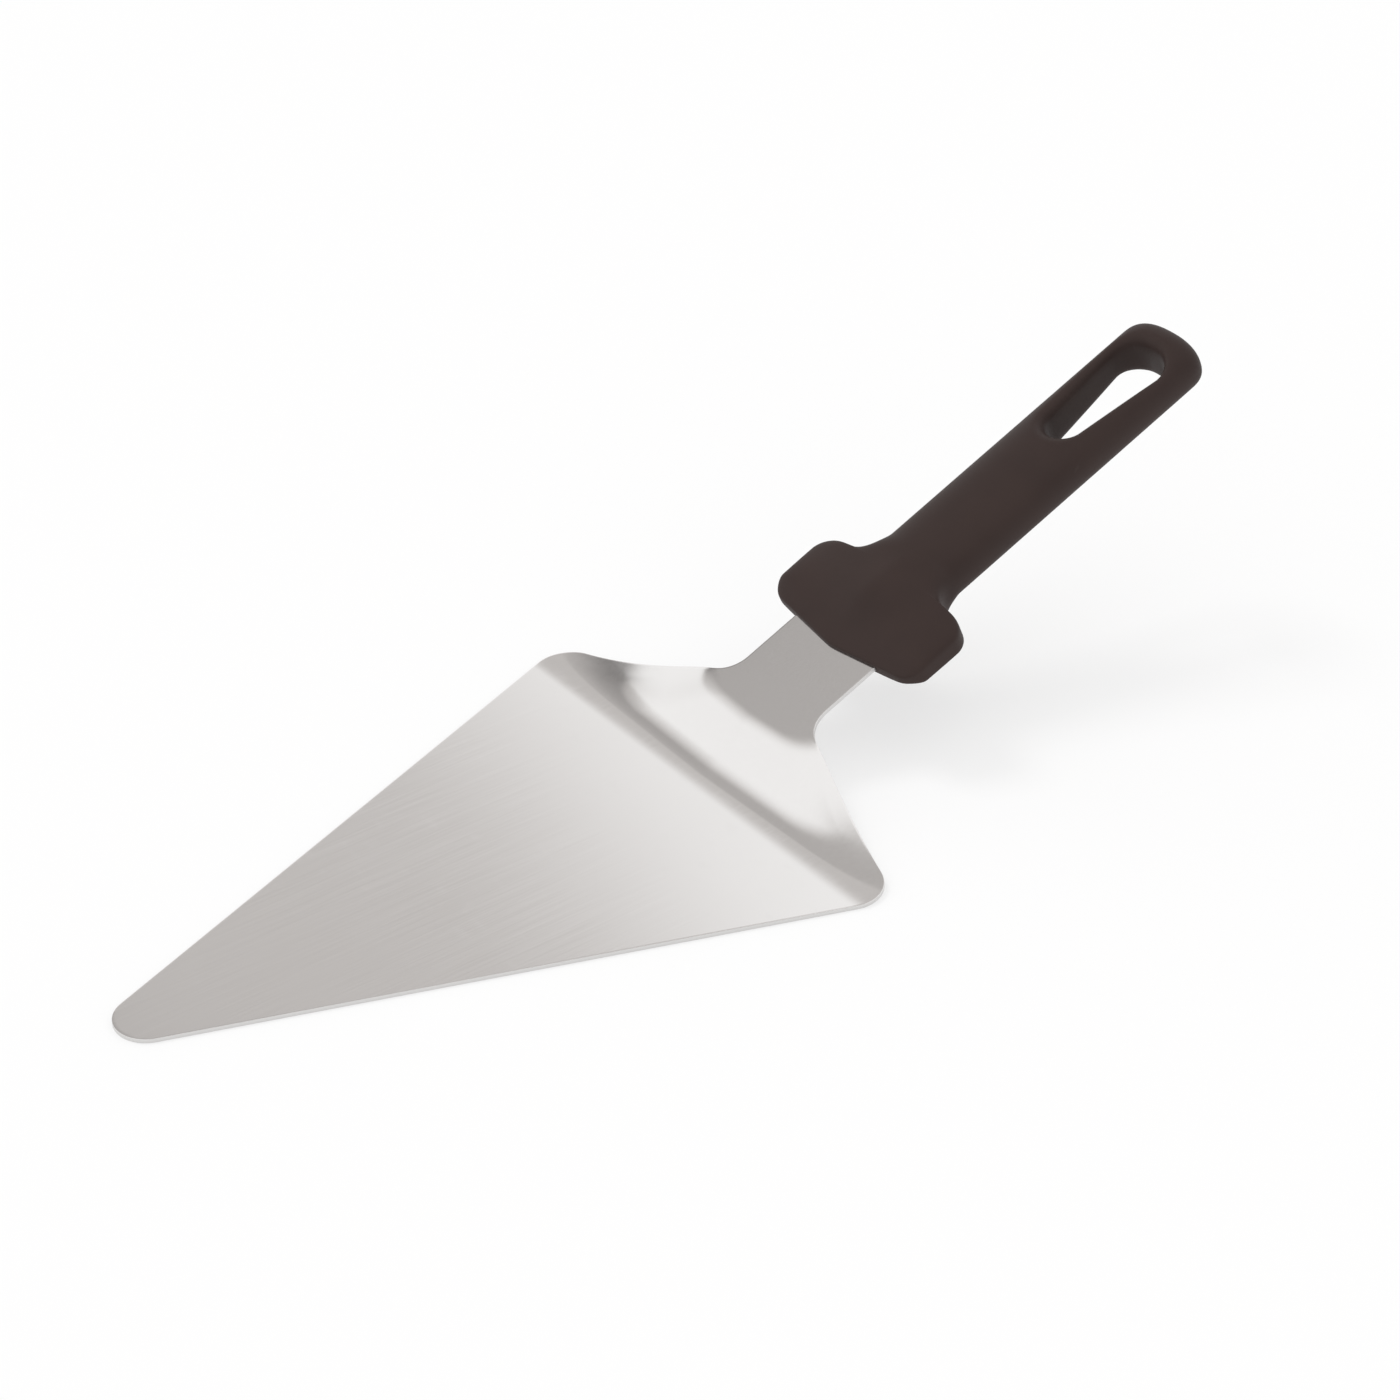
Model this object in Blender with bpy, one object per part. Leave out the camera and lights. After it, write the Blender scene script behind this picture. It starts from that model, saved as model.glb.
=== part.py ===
"""A pizza server: a pressed steel blade whose tang is moulded into a plastic handle.

Metres, +Z up. +X runs from the tip of the blade to the butt of the handle, and the blade lies flat
on Z = 0. The origin is on the underside of the blade, REST_FROM_TIP behind the tip.
"""

import math

import bpy
import numpy as np

# Outline of the blade, seen from above
REST_FROM_TIP = 0.1016
TIP_RADIUS = 0.0077
SHOULDER_FROM_TIP = 0.1498
BLADE_WIDTH = 0.1200
SHOULDER_RADIUS = 0.0080
REAR_EDGE_SWEEP = math.radians(16.4)
NECK_WIDTH = 0.0282
NECK_FILLET = 0.0070

# Sheet of the blade and its folds seen from the side: a low foot, a steep riser and the neck
SHEET_THICKNESS = 0.0010
BEND_FROM_TIP = 0.1477
FOOT_ANGLE = math.radians(4.7)
FOOT_LENGTH = 0.0041
RISER_ANGLE = math.radians(40.5)
RISER_RUN = 0.0118
NECK_ANGLE = math.radians(23)
NECK_LENGTH = 0.0254

# Sideways the riser falls a little and ends in a gusset, with a flatter shoulder outside it.
# A slope is the rise towards the handle, and a fall is that away from the centre line
RISER_FALL = 0.022
GUSSET_SLOPE = 0.520
GUSSET_FALL = 0.234
GUSSET_SETBACK = 0.0032
GUSSET_HALF_WIDTH = 0.0324
SHOULDER_SLOPE = 0.445
SHOULDER_FALL = 0.118
SHOULDER_SETBACK = 0.0015
SHOULDER_HALF_WIDTH = 0.0450

# Height within which two faces of the sheet are rounded into each other
FOOT_SOFTNESS = 0.0002
RISER_SOFTNESS = 0.0018
CREASE_SOFTNESS = 0.0009
GUSSET_SOFTNESS = 0.0018
SHOULDER_SOFTNESS = 0.0010
CENTRE_SOFTNESS = 0.0005

# Tang inside the handle, with holes that the moulding flows through
TANG_LENGTH = 0.0450
TANG_WIDTH = 0.0160
TANG_STEP = 0.0080
TANG_TAPER = 0.0070
TANG_CORNER = 0.0030
LOCK_HOLE_DIAMETER = 0.0060
LOCK_HOLE_COUNT = 2
LOCK_HOLE_PITCH = 0.0140
LOCK_HOLE_FROM_END = 0.0080

# Handle
HANDLE_LENGTH = 0.1130
GRIP_WIDTH = 0.0236
GRIP_THICKNESS = 0.0132
GUARD_WIDTH = 0.0503
GUARD_DEPTH = 0.0218
GUARD_FRONT_CORNER = 0.0048
GUARD_REAR_CORNER = 0.0055
GUARD_FILLET = 0.0058
GUARD_BLEND = 0.0085
GUARD_REAR_SWEEP = math.radians(5)
GUARD_END_THICKNESS = 0.0070
NOSE_THICKNESS = 0.0034
NOSE_ROUND = 0.0006
NOSE_ANGLE = math.radians(7.4)
NOSE_RAMP = 0.0150
BUTT_LENGTH = 0.0070

# Roundness of the sections: 2 is an ellipse, and more is squarer
GUARD_SQUARENESS = 6.0
GRIP_SQUARENESS = 2.4
BUTT_PLAN_SQUARENESS = 2.8
BUTT_SIDE_SQUARENESS = 3.0

# Hanging slot, wide towards the butt
SLOT_LENGTH = 0.0333
SLOT_WIDE = 0.0152
SLOT_NARROW = 0.0100
SLOT_CORNER = 0.0060
SLOT_BUTT_WALL = 0.0075
SLOT_RIM = 0.0030

# Gap between the tang and the moulding
CLEARANCE = 0.0003

# Counts of facets, the reach of the rows in the bends before and behind them, the least gap between
# two rows of points, and the angle of an unsmoothed edge
ARC_STEPS = 8
BEND_ROWS = 30
BEND_REACH = 0.0040
BLADE_COLUMNS = 40
GRIP_STATIONS = 9
RING_POINTS = 48
SLOT_POINTS = 48
HOLE_POINTS = 24
LEAST_ROW_STEP = 0.0001
SHARP_ANGLE = math.radians(35)

STEEL_COLOUR = (0.62, 0.61, 0.60, 1.0)
STEEL_ROUGHNESS = 0.32
PLASTIC_COLOUR = (0.045, 0.036, 0.034, 1.0)
PLASTIC_ROUGHNESS = 0.5

# Places on the centre line of the sheet's underside: the foot and the top of the riser, and the
# end of the neck at the nose of the handle
RISER_X = BEND_FROM_TIP + FOOT_LENGTH
CREASE_X = RISER_X + RISER_RUN
CREASE_Z = RISER_RUN * math.tan(RISER_ANGLE)
NOSE_X = CREASE_X + NECK_LENGTH * math.cos(NECK_ANGLE)
NOSE_Z = CREASE_Z + NECK_LENGTH * math.sin(NECK_ANGLE)


def clear_scene():
    for obj in list(bpy.data.objects):
        bpy.data.objects.remove(obj)


def make_material(name, colour, roughness, metallic):
    material = bpy.data.materials.new(name)
    material.use_nodes = True
    shader = material.node_tree.nodes["Principled BSDF"]
    shader.inputs["Base Color"].default_value = colour
    shader.inputs["Roughness"].default_value = roughness
    shader.inputs["Metallic"].default_value = metallic
    return material


def add_object(name, points, faces, material=None, parent=None):
    mesh = bpy.data.meshes.new(name)
    mesh.from_pydata([tuple(map(float, point)) for point in points], [], faces)
    mesh.shade_smooth()
    mesh.set_sharp_from_angle(angle=SHARP_ANGLE)
    obj = bpy.data.objects.new(name, mesh)
    bpy.context.scene.collection.objects.link(obj)
    obj.parent = parent
    if material:
        mesh.materials.append(material)
    return obj


def make_cutter(obj):
    obj.hide_render = True
    obj.display_type = "WIRE"
    return obj


def cut(obj, cutter):
    modifier = obj.modifiers.new(f"cut {cutter.name}", "BOOLEAN")
    modifier.operation = "DIFFERENCE"
    modifier.object = cutter


def smooth_step(value, start, end):
    share = np.clip((value - start) / (end - start), 0.0, 1.0)
    return share * share * (3.0 - 2.0 * share)


def arc(centre, radius, start, end):
    """Points of an arc, from angle start to angle end."""
    angles = np.linspace(start, end, ARC_STEPS + 1)
    return [(centre[0] + radius * math.cos(a), centre[1] + radius * math.sin(a)) for a in angles]


def shoulder_path(widest, half, corner, start, sweep, inner_half, fillet):
    """Half outline from a wide part to a stem: a corner, a swept rear edge and a fillet."""
    centre = (widest, half - corner)
    path = arc(centre, corner, start, sweep)
    edge_x, edge_y = path[-1]
    fillet_y = inner_half + fillet * (1.0 - math.sin(sweep))
    fillet_x = edge_x + (edge_y - fillet_y) * math.tan(sweep)
    path.append(((edge_x + fillet_x) / 2, (edge_y + fillet_y) / 2))
    fillet_centre = (fillet_x + fillet * math.cos(sweep), inner_half + fillet)
    return path + arc(fillet_centre, fillet, math.pi + sweep, 1.5 * math.pi)


def higher(first, second, softness):
    """The higher of two faces, rounded where they meet."""
    near = np.maximum(0.0, 1.0 - np.abs(first - second) / softness)
    return np.maximum(first, second) + softness / 4 * near ** 2


def lower(first, second, softness):
    return -higher(-first, -second, softness)


def riser_height(x, out):
    return math.tan(RISER_ANGLE) * (x - RISER_X) - RISER_FALL * out


def gusset_height(x, out):
    foot = RISER_X + GUSSET_SETBACK
    rise = GUSSET_SLOPE * (x - foot) - GUSSET_FALL * (out - GUSSET_HALF_WIDTH)
    return riser_height(foot, GUSSET_HALF_WIDTH) + rise


def shoulder_height(x, out):
    return SHOULDER_SLOPE * (x - RISER_X - SHOULDER_SETBACK) - SHOULDER_FALL * (out - SHOULDER_HALF_WIDTH)


def sheet_height(x, y):
    """Height of the underside, folded from flat faces with rounded bends between them."""
    out = np.hypot(y, CENTRE_SOFTNESS) - CENTRE_SOFTNESS
    flat = higher(0.0, math.tan(FOOT_ANGLE) * (x - BEND_FROM_TIP), FOOT_SOFTNESS)
    ends = higher(gusset_height(x, out), shoulder_height(x, out), SHOULDER_SOFTNESS)
    riser = lower(riser_height(x, out), ends, GUSSET_SOFTNESS)
    neck = CREASE_Z + math.tan(NECK_ANGLE) * (x - CREASE_X)
    return higher(flat, lower(riser, neck, CREASE_SOFTNESS), RISER_SOFTNESS)


def tang_path(gap=0.0):
    """Half outline of the tang, from the nose of the handle, grown by a gap all round."""
    neck = NECK_WIDTH / 2 + gap
    tang = TANG_WIDTH / 2 + gap
    end = TANG_LENGTH + gap
    return [
        (TANG_STEP, neck),
        (TANG_STEP + TANG_TAPER, tang),
        (end - TANG_CORNER, tang),
        (end, tang - TANG_CORNER),
    ]


def lock_hole_places():
    last = TANG_LENGTH - LOCK_HOLE_FROM_END
    return [last - LOCK_HOLE_PITCH * i for i in range(LOCK_HOLE_COUNT)]


def blade_outline():
    """Half outline of the sheet, as (distance behind the tip, half width) in plan."""
    shoulder_y = BLADE_WIDTH / 2 - SHOULDER_RADIUS
    across = SHOULDER_FROM_TIP - TIP_RADIUS
    lean = math.asin((TIP_RADIUS - SHOULDER_RADIUS) / math.hypot(across, shoulder_y))
    edge_normal = math.pi / 2 + math.atan2(shoulder_y, across) - lean
    half_facet = (math.pi - edge_normal) / (2 * ARC_STEPS + 1)
    tip = arc((TIP_RADIUS, 0.0), TIP_RADIUS, math.pi - half_facet, edge_normal)
    rear = shoulder_path(
        SHOULDER_FROM_TIP, BLADE_WIDTH / 2, SHOULDER_RADIUS, edge_normal,
        REAR_EDGE_SWEEP, NECK_WIDTH / 2, NECK_FILLET,
    )
    tang = [(NOSE_X + s * math.cos(NECK_ANGLE), half) for s, half in tang_path()]
    return np.array(tip + rear + tang)


def sheet_stations(outline):
    """Places along the sheet for its rows of points: the corners of the outline, and the bends."""
    bends = np.linspace(BEND_FROM_TIP - BEND_REACH, CREASE_X + BEND_REACH, BEND_ROWS)
    stations = [outline[0][0]]
    for x in sorted([*outline[:, 0], *bends]):
        if x - stations[-1] > LEAST_ROW_STEP:
            stations.append(x)
    stations[-1] = outline[-1][0]
    return stations


def make_blade(material):
    outline = blade_outline()
    columns = np.linspace(-1.0, 1.0, BLADE_COLUMNS + 1)
    stations = sheet_stations(outline)
    points = []
    for x in stations:
        half = np.interp(x, outline[:, 0], outline[:, 1])
        points += [(x, half * c, sheet_height(x, half * c)) for c in columns]
    faces = []
    for row in range(len(stations) - 1):
        first = row * len(columns)
        for i in range(first, first + BLADE_COLUMNS):
            after = i + len(columns)
            faces.append((i, after, after + 1, i + 1))
    blade = add_object("blade", points, faces, material)
    blade.location.x = -REST_FROM_TIP
    sheet = blade.modifiers.new("sheet", "SOLIDIFY")
    sheet.thickness = SHEET_THICKNESS
    sheet.offset = 1.0
    sheet.use_even_offset = True
    return blade


def make_handle_frame():
    """An empty at the nose of the handle, in the middle of the sheet: X along it, Z out of its top."""
    half = SHEET_THICKNESS / 2
    frame = bpy.data.objects.new("handle_frame", None)
    bpy.context.scene.collection.objects.link(frame)
    frame.location.x = NOSE_X - REST_FROM_TIP - half * math.sin(NECK_ANGLE)
    frame.location.z = NOSE_Z + half * math.cos(NECK_ANGLE)
    frame.rotation_euler = (0.0, -NECK_ANGLE, 0.0)
    return frame


def prism(name, loops, parent):
    """A closed solid through a stack of loops with equal counts of points."""
    count = len(loops[0])
    points = [point for loop in loops for point in loop]
    faces = [tuple(reversed(range(count)))]
    for level in range(len(loops) - 1):
        base = level * count
        for i in range(count):
            j = (i + 1) % count
            faces.append((base + i, base + j, base + count + j, base + count + i))
    faces.append(tuple(range(len(points) - count, len(points))))
    return add_object(name, points, faces, parent=parent)


def lock_posts(name, radius, half_height, parent):
    """Round posts at the places of the lock holes."""
    posts = []
    for i, place in enumerate(lock_hole_places()):
        angles = [math.tau * k / HOLE_POINTS for k in range(HOLE_POINTS)]
        ring = [(place + radius * math.cos(a), radius * math.sin(a)) for a in angles]
        loops = [[(x, y, z) for x, y in ring] for z in (-half_height, half_height)]
        posts.append(make_cutter(prism(f"{name}_{i + 1}", loops, parent)))
    return posts


def tang_cavity(parent):
    """The space that the neck and tang take up in the handle, open at the nose."""
    path = [(-NECK_LENGTH / 2, NECK_WIDTH / 2 + CLEARANCE)] + tang_path(CLEARANCE)
    outline = [(x, -half) for x, half in path] + [(x, half) for x, half in reversed(path)]
    half_height = SHEET_THICKNESS / 2 + CLEARANCE
    loops = [[(x, y, z) for x, y in outline] for z in (-half_height, half_height)]
    return make_cutter(prism("tang_cavity", loops, parent))


def superellipse(share, squareness):
    """Height of a superellipse quarter, from 1 at share 0 to 0 at share 1."""
    return (1.0 - np.clip(share, 0.0, 1.0) ** squareness) ** (1.0 / squareness)


def handle_stations():
    """(distance from the nose, half width) of each ring round the handle."""
    guard = GUARD_WIDTH / 2
    grip = GRIP_WIDTH / 2
    corner = GUARD_FRONT_CORNER
    front = arc((corner, guard - corner), corner, math.pi, math.pi / 2)
    rear = shoulder_path(
        GUARD_DEPTH - GUARD_REAR_CORNER, guard, GUARD_REAR_CORNER, math.pi / 2,
        GUARD_REAR_SWEEP, grip, GUARD_FILLET,
    )
    butt_start = HANDLE_LENGTH - BUTT_LENGTH
    along = np.linspace(rear[-1][0], butt_start, GRIP_STATIONS + 2)[1:]
    butt = []
    for angle in np.linspace(0.0, math.pi / 2, ARC_STEPS + 2)[1:-1]:
        share = math.sin(angle)
        butt.append((butt_start + share * BUTT_LENGTH, grip * superellipse(share, BUTT_PLAN_SQUARENESS)))
    return front + rear + [(x, grip) for x in along] + butt


def handle_section(x):
    """Half thickness on the centre line and at the sides, and the squareness, of one ring."""
    nose, grip = NOSE_THICKNESS / 2, GRIP_THICKNESS / 2
    tip = NOSE_ROUND * (superellipse(1.0 - x / NOSE_ROUND, 2.0) - 1.0)
    centre = nose + (grip - nose) * smooth_step(x, 0.0, NOSE_RAMP)
    side = nose + (GUARD_END_THICKNESS / 2 - nose) * smooth_step(x, 0.0, GUARD_FRONT_CORNER)
    past_guard = smooth_step(x, GUARD_DEPTH, GUARD_DEPTH + GUARD_BLEND)
    side += (grip - side) * past_guard
    squareness = GUARD_SQUARENESS + (GRIP_SQUARENESS - GUARD_SQUARENESS) * past_guard
    butt = superellipse((x - HANDLE_LENGTH + BUTT_LENGTH) / BUTT_LENGTH, BUTT_SIDE_SQUARENESS)
    return (centre + tip) * butt, (side + tip) * butt, squareness


def handle_ring(x, half):
    """One closed ring: a superellipse whose thickness falls from the centre line to the sides."""
    centre, side, squareness = handle_section(x)
    sweep = math.tan(NOSE_ANGLE) * (1.0 - smooth_step(x, 0.0, GUARD_DEPTH))
    ring = []
    for i in range(RING_POINTS):
        angle = math.tau * i / RING_POINTS
        across = math.copysign(abs(math.cos(angle)) ** (2 / squareness), math.cos(angle))
        up = math.copysign(abs(math.sin(angle)) ** (2 / squareness), math.sin(angle))
        thickness = centre + (side - centre) * abs(across) * half / (GUARD_WIDTH / 2)
        y = half * across
        ring.append((x + sweep * abs(y), y, thickness * up))
    return ring


def make_handle(material, frame):
    rings = [handle_ring(x, half) for x, half in handle_stations()]
    count = RING_POINTS
    points = [point for ring in rings for point in ring]
    faces = []
    for i in range(count // 2):
        across = ((count - i) % count, (count - i - 1) % count, i + 1, i)
        faces.append(tuple(dict.fromkeys(across)))
    for level in range(len(rings) - 1):
        base = level * count
        for i in range(count):
            j = (i + 1) % count
            faces.append((base + i, base + j, base + count + j, base + count + i))
    faces.append(tuple(range(len(points) - count, len(points))))
    return add_object("handle", points, faces, material, frame)


def slot_loop(offset, z):
    """Outline of the hanging slot, drawn tight round one narrow and two wide corners."""
    end = HANDLE_LENGTH - SLOT_BUTT_WALL
    wide_y = SLOT_WIDE / 2 - SLOT_CORNER
    circles = [
        (end - SLOT_LENGTH + SLOT_NARROW / 2, 0.0, SLOT_NARROW / 2),
        (end - SLOT_CORNER, wide_y, SLOT_CORNER),
        (end - SLOT_CORNER, -wide_y, SLOT_CORNER),
    ]
    loop = []
    for i in range(SLOT_POINTS):
        angle = math.tau * (i + 0.5) / SLOT_POINTS
        out_x, out_y = math.cos(angle), math.sin(angle)
        x, y, radius = max(circles, key=lambda c: c[0] * out_x + c[1] * out_y + c[2])
        loop.append((x + (radius + offset) * out_x, y + (radius + offset) * out_y, z))
    return loop


def hanging_slot(parent):
    """The slot's space: straight in the middle, flared to a rounded rim at both faces."""
    wall = superellipse(SLOT_WIDE / GRIP_WIDTH, GRIP_SQUARENESS) * GRIP_THICKNESS / 2
    straight = wall - SLOT_RIM
    levels = [(0.0, straight)]
    for angle in np.linspace(0.0, math.pi / 2, ARC_STEPS // 2 + 1)[1:]:
        levels.append((SLOT_RIM * (1.0 - math.cos(angle)), straight + SLOT_RIM * math.sin(angle)))
    reach = GRIP_THICKNESS - wall
    levels.append((SLOT_RIM + reach, wall + reach))
    loops = [slot_loop(offset, -z) for offset, z in reversed(levels)]
    loops += [slot_loop(offset, z) for offset, z in levels]
    return make_cutter(prism("hanging_slot", loops, parent))


def main():
    clear_scene()
    steel = make_material("stainless_steel", STEEL_COLOUR, STEEL_ROUGHNESS, 1.0)
    plastic = make_material("handle_plastic", PLASTIC_COLOUR, PLASTIC_ROUGHNESS, 0.0)
    frame = make_handle_frame()

    blade = make_blade(steel)
    for post in lock_posts("lock_hole", LOCK_HOLE_DIAMETER / 2, GRIP_THICKNESS / 2, frame):
        cut(blade, post)

    cavity = tang_cavity(frame)
    plug_radius = LOCK_HOLE_DIAMETER / 2 - CLEARANCE
    for post in lock_posts("lock_plug", plug_radius, GRIP_THICKNESS / 2, frame):
        cut(cavity, post)
    handle = make_handle(plastic, frame)
    cut(handle, cavity)
    cut(handle, hanging_slot(frame))


main()
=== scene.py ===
"""The looks of a pizza server: a satin steel blade and a matte moulded handle on a white floor.

Metres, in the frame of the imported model: +X runs from the tip of the blade to the butt of the
handle, +Z is up, and the blade lies flat on Z = 0.
"""

import math

import bmesh
import bpy
import numpy as np
from mathutils import Matrix, Vector


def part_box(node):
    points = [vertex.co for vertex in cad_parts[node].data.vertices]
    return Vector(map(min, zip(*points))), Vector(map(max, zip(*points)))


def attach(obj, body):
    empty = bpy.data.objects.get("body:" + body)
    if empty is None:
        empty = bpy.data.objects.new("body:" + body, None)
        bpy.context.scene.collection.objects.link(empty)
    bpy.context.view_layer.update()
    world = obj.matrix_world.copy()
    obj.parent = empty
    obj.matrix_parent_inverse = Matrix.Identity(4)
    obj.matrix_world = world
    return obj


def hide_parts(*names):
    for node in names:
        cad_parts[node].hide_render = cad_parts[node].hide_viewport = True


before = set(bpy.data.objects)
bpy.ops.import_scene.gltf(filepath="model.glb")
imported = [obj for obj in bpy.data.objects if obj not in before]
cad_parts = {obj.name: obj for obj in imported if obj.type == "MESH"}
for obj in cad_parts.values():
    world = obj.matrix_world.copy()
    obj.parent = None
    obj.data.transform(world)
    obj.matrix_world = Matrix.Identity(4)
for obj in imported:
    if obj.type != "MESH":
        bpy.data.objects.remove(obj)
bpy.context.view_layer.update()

# Outline of the blade, seen from above
BLADE_LOW, BLADE_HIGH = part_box("blade")
REST_FROM_TIP = -BLADE_LOW.x
BLADE_WIDTH = BLADE_HIGH.y - BLADE_LOW.y
TIP_RADIUS = 0.0077
SHOULDER_FROM_TIP = 0.1498
SHOULDER_RADIUS = 0.0080
REAR_EDGE_SWEEP = math.radians(16.4)
NECK_WIDTH = 0.0282
NECK_FILLET = 0.0070

# Sheet of the blade and its folds seen from the side: a low foot, a steep riser and the neck
SHEET_THICKNESS = 0.0010
EDGE_ROUND = 0.00010
BEND_FROM_TIP = 0.1477
FOOT_ANGLE = math.radians(4.7)
FOOT_LENGTH = 0.0041
RISER_ANGLE = math.radians(40.5)
RISER_RUN = 0.0118
NECK_ANGLE = math.radians(23)
NECK_LENGTH = 0.0254

# Sideways the riser falls a little and ends in a gusset, with a flatter shoulder outside it.
# Slopes are the rise towards the handle and the fall away from the centre line
RISER_FALL = 0.022
GUSSET_SLOPE = 0.520
GUSSET_FALL = 0.234
GUSSET_SETBACK = 0.0032
GUSSET_HALF_WIDTH = 0.0324
SHOULDER_SLOPE = 0.445
SHOULDER_FALL = 0.118
SHOULDER_SETBACK = 0.0015
SHOULDER_HALF_WIDTH = 0.0450

# Height within which two faces of the sheet are rounded into each other
FOOT_SOFTNESS = 0.0002
RISER_SOFTNESS = 0.0022
CREASE_SOFTNESS = 0.00055
GUSSET_SOFTNESS = 0.0018
SHOULDER_SOFTNESS = 0.0010
CENTRE_SOFTNESS = 0.0005

# Tang inside the handle, with holes that the moulding flows through
TANG_LENGTH = 0.0450
TANG_WIDTH = 0.0160
TANG_STEP = 0.0080
TANG_TAPER = 0.0070
TANG_CORNER = 0.0030
LOCK_HOLE_DIAMETER = 0.0060
LOCK_HOLE_COUNT = 2
LOCK_HOLE_PITCH = 0.0140
LOCK_HOLE_FROM_END = 0.0080

# Handle
HANDLE_LENGTH = 0.1129
GRIP_WIDTH = 0.0236
GRIP_THICKNESS = 0.0132
GUARD_WIDTH = 0.0503
GUARD_DEPTH = 0.0218
GUARD_FRONT_CORNER = 0.0048
GUARD_REAR_CORNER = 0.0055
GUARD_FILLET = 0.0058
GUARD_BLEND = 0.0085
GUARD_REAR_SWEEP = math.radians(5)
GUARD_END_THICKNESS = 0.0070
NOSE_THICKNESS = 0.0034
NOSE_ROUND = 0.0006
NOSE_ANGLE = math.radians(7.4)
NOSE_RAMP = 0.0150
RIDGE_SOFTNESS = 0.0010
BUTT_LENGTH = 0.0070

# Roundness of the sections: 2 is an ellipse, and more is squarer
GUARD_SQUARENESS = 6.0
GRIP_SQUARENESS = 2.4
BUTT_PLAN_SQUARENESS = 2.8
BUTT_SIDE_SQUARENESS = 3.0

# Hanging slot, wide towards the butt, and the stretch of the handle that is laid out round it
SLOT_LENGTH = 0.0333
SLOT_WIDE = 0.0152
SLOT_NARROW = 0.0100
SLOT_CORNER = 0.0060
SLOT_BUTT_WALL = 0.0074
SLOT_RIM = 0.0030
SLOT_STRETCH = (0.0640, 0.1100)

# The moulding is tight on the steel
MOULD_GAP = 0.00006

# Facets of the blade. Its front row follows the tip's arc by the row angle to each side, and the rows
# behind it straighten within the fade. Steps are shorter where the sheet is bent
ARC_STEPS = 24
EDGE_STEPS = 4
EDGE_BAND = 0.0004
BLADE_COLUMNS = 120
TIP_ROW_ANGLE = math.radians(40)
TIP_FADE = 0.0150
FLAT_STEP = 0.0040
BEND_STEP = 0.0004
BEND_REACH = 0.0050
NORMAL_REACH = 0.0001
HOLE_POINTS = 48

# Facets of the handle. Points up to the nose end's count of steps from an end of the nose share a face
RING_QUARTER = 32
GRIP_STATIONS = 48
GUARD_STATIONS = 14
BUTT_STEPS = 14
SLOT_SIDE_STEPS = 30
SLOT_BANDS = 9
RIM_STEPS = 6
WALL_STEPS = 2
NOSE_END = 2

# Distance within which points are welded, and angle from which an edge stays sharp
WELD = 2e-6
SHARP_ANGLE = math.radians(40)

# Camera, fitted to the outline in the photograph. Azimuths run from +X to +Y
CAMERA_TARGET = Vector((0.0516, 0.0047, 0.0171))
CAMERA_AZIMUTH = math.radians(-127.417)
CAMERA_ELEVATION = math.radians(33.807)
CAMERA_DISTANCE = 0.8
CAMERA_LENS = 92.0

# Studio: a softly lit white floor under a white surround with dim gaps between its panels, alike in
# front and behind. Angles of the gaps are in degrees, and each edge starts and ends at two of them:
# azimuths for left and right, elevations for bottom and top. About the corner, the left edge leans
# with the elevation, and the bottom tilts with the azimuth
WHITE = (1.0, 1.0, 1.0, 1.0)
FLOOR_SIZE = 8.0
FLOOR_COLOUR = (0.36, 0.36, 0.36, 1.0)
FLOOR_GLOW = 0.598
SURROUND_STRENGTH = 1.03
GAP_CORNER = (55, 35)
PANEL_GAP = {
    "depth": 0.435, "lean": 0.92, "tilt": -0.075,
    "left": (52.4, 59), "right": (95, 133), "bottom": (29, 33), "top": (62.5, 66.5),
}
INNER_GAP = {**PANEL_GAP, "depth": 0.095, "left": (66, 70)}
LOW_GAP = {
    "depth": 0.275, "lean": 0.0, "tilt": 0.0,
    "left": (66, 88), "right": (93.5, 101), "bottom": (31, 35), "top": (36, 52),
}
GAP_TINT = (1.0, 0.965, 0.945, 1.0)
KEY_AZIMUTH = math.radians(107)
KEY_ELEVATION = math.radians(55)
KEY_STRENGTH = 0.7
KEY_ANGLE = math.radians(20)

# Finishes. A noise has about one feature in each 1 / scale metres, along all axes or each of three,
# and most of its values lie in the noise range. Bumps are a strength and a height
NOISE_RANGE = (0.3, 0.7)
STEEL_COLOUR = (0.844, 0.831, 0.822, 1.0)
STEEL_SHADE = (0.820, 0.806, 0.797, 1.0)
STEEL_CLOUD = {"scale": 28.0, "detail": 3.0}
STEEL_ROUGHNESS = (0.125, 0.145)
GRAIN = {"scale": (45.0, 3200.0, 3200.0), "detail": 3.0}
GRAIN_ROUGHNESS = (-0.02, 0.02)
GRAIN_BUMP = (0.05, 0.00002)
MARKS = {"scale": (420.0, 160.0, 160.0), "detail": 2.0}
MARKS_RANGE = (0.62, 0.72)
MARKS_ROUGHNESS = (0.0, 0.02)
# The cut edge's darker colour is painted shade, standing in for the dim studio it would mirror; its extra
# roughness is its own
CUT_EDGE_PAINTED_SHADE = (0.690, 0.680, 0.671, 1.0)
SHEARED_ROUGHNESS = 0.25
SHEARED_FACING = (0.50, 0.73)
PLASTIC_COLOUR = (0.0410, 0.0268, 0.0238, 1.0)
PLASTIC_SHADE = (0.0350, 0.0226, 0.0202, 1.0)
PLASTIC_CLOUD = {"scale": 70.0, "detail": 4.0}
PLASTIC_WORN = (0.0500, 0.0370, 0.0330, 1.0)
PLASTIC_WEAR = (0.0, 0.7)
PLASTIC_EDGE = (0.61, 0.71)
PLASTIC_ROUGHNESS = (0.50, 0.62)
PLASTIC_SPECULAR = 0.15
TEXTURE = {"scale": 4200.0, "detail": 2.0}
TEXTURE_RANGE = (0.15, 0.40)
TEXTURE_BUMP = (0.25, 0.00004)


def smooth_step(value, start, end):
    """From 0 at the start to 1 at the end, and level at both."""
    share = np.clip((value - start) / (end - start), 0.0, 1.0)
    return share * share * (3.0 - 2.0 * share)


def superellipse(share, squareness):
    """Height of a superellipse quarter, from 1 at share 0 to 0 at share 1."""
    return (1.0 - np.clip(share, 0.0, 1.0) ** squareness) ** (1.0 / squareness)


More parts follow.
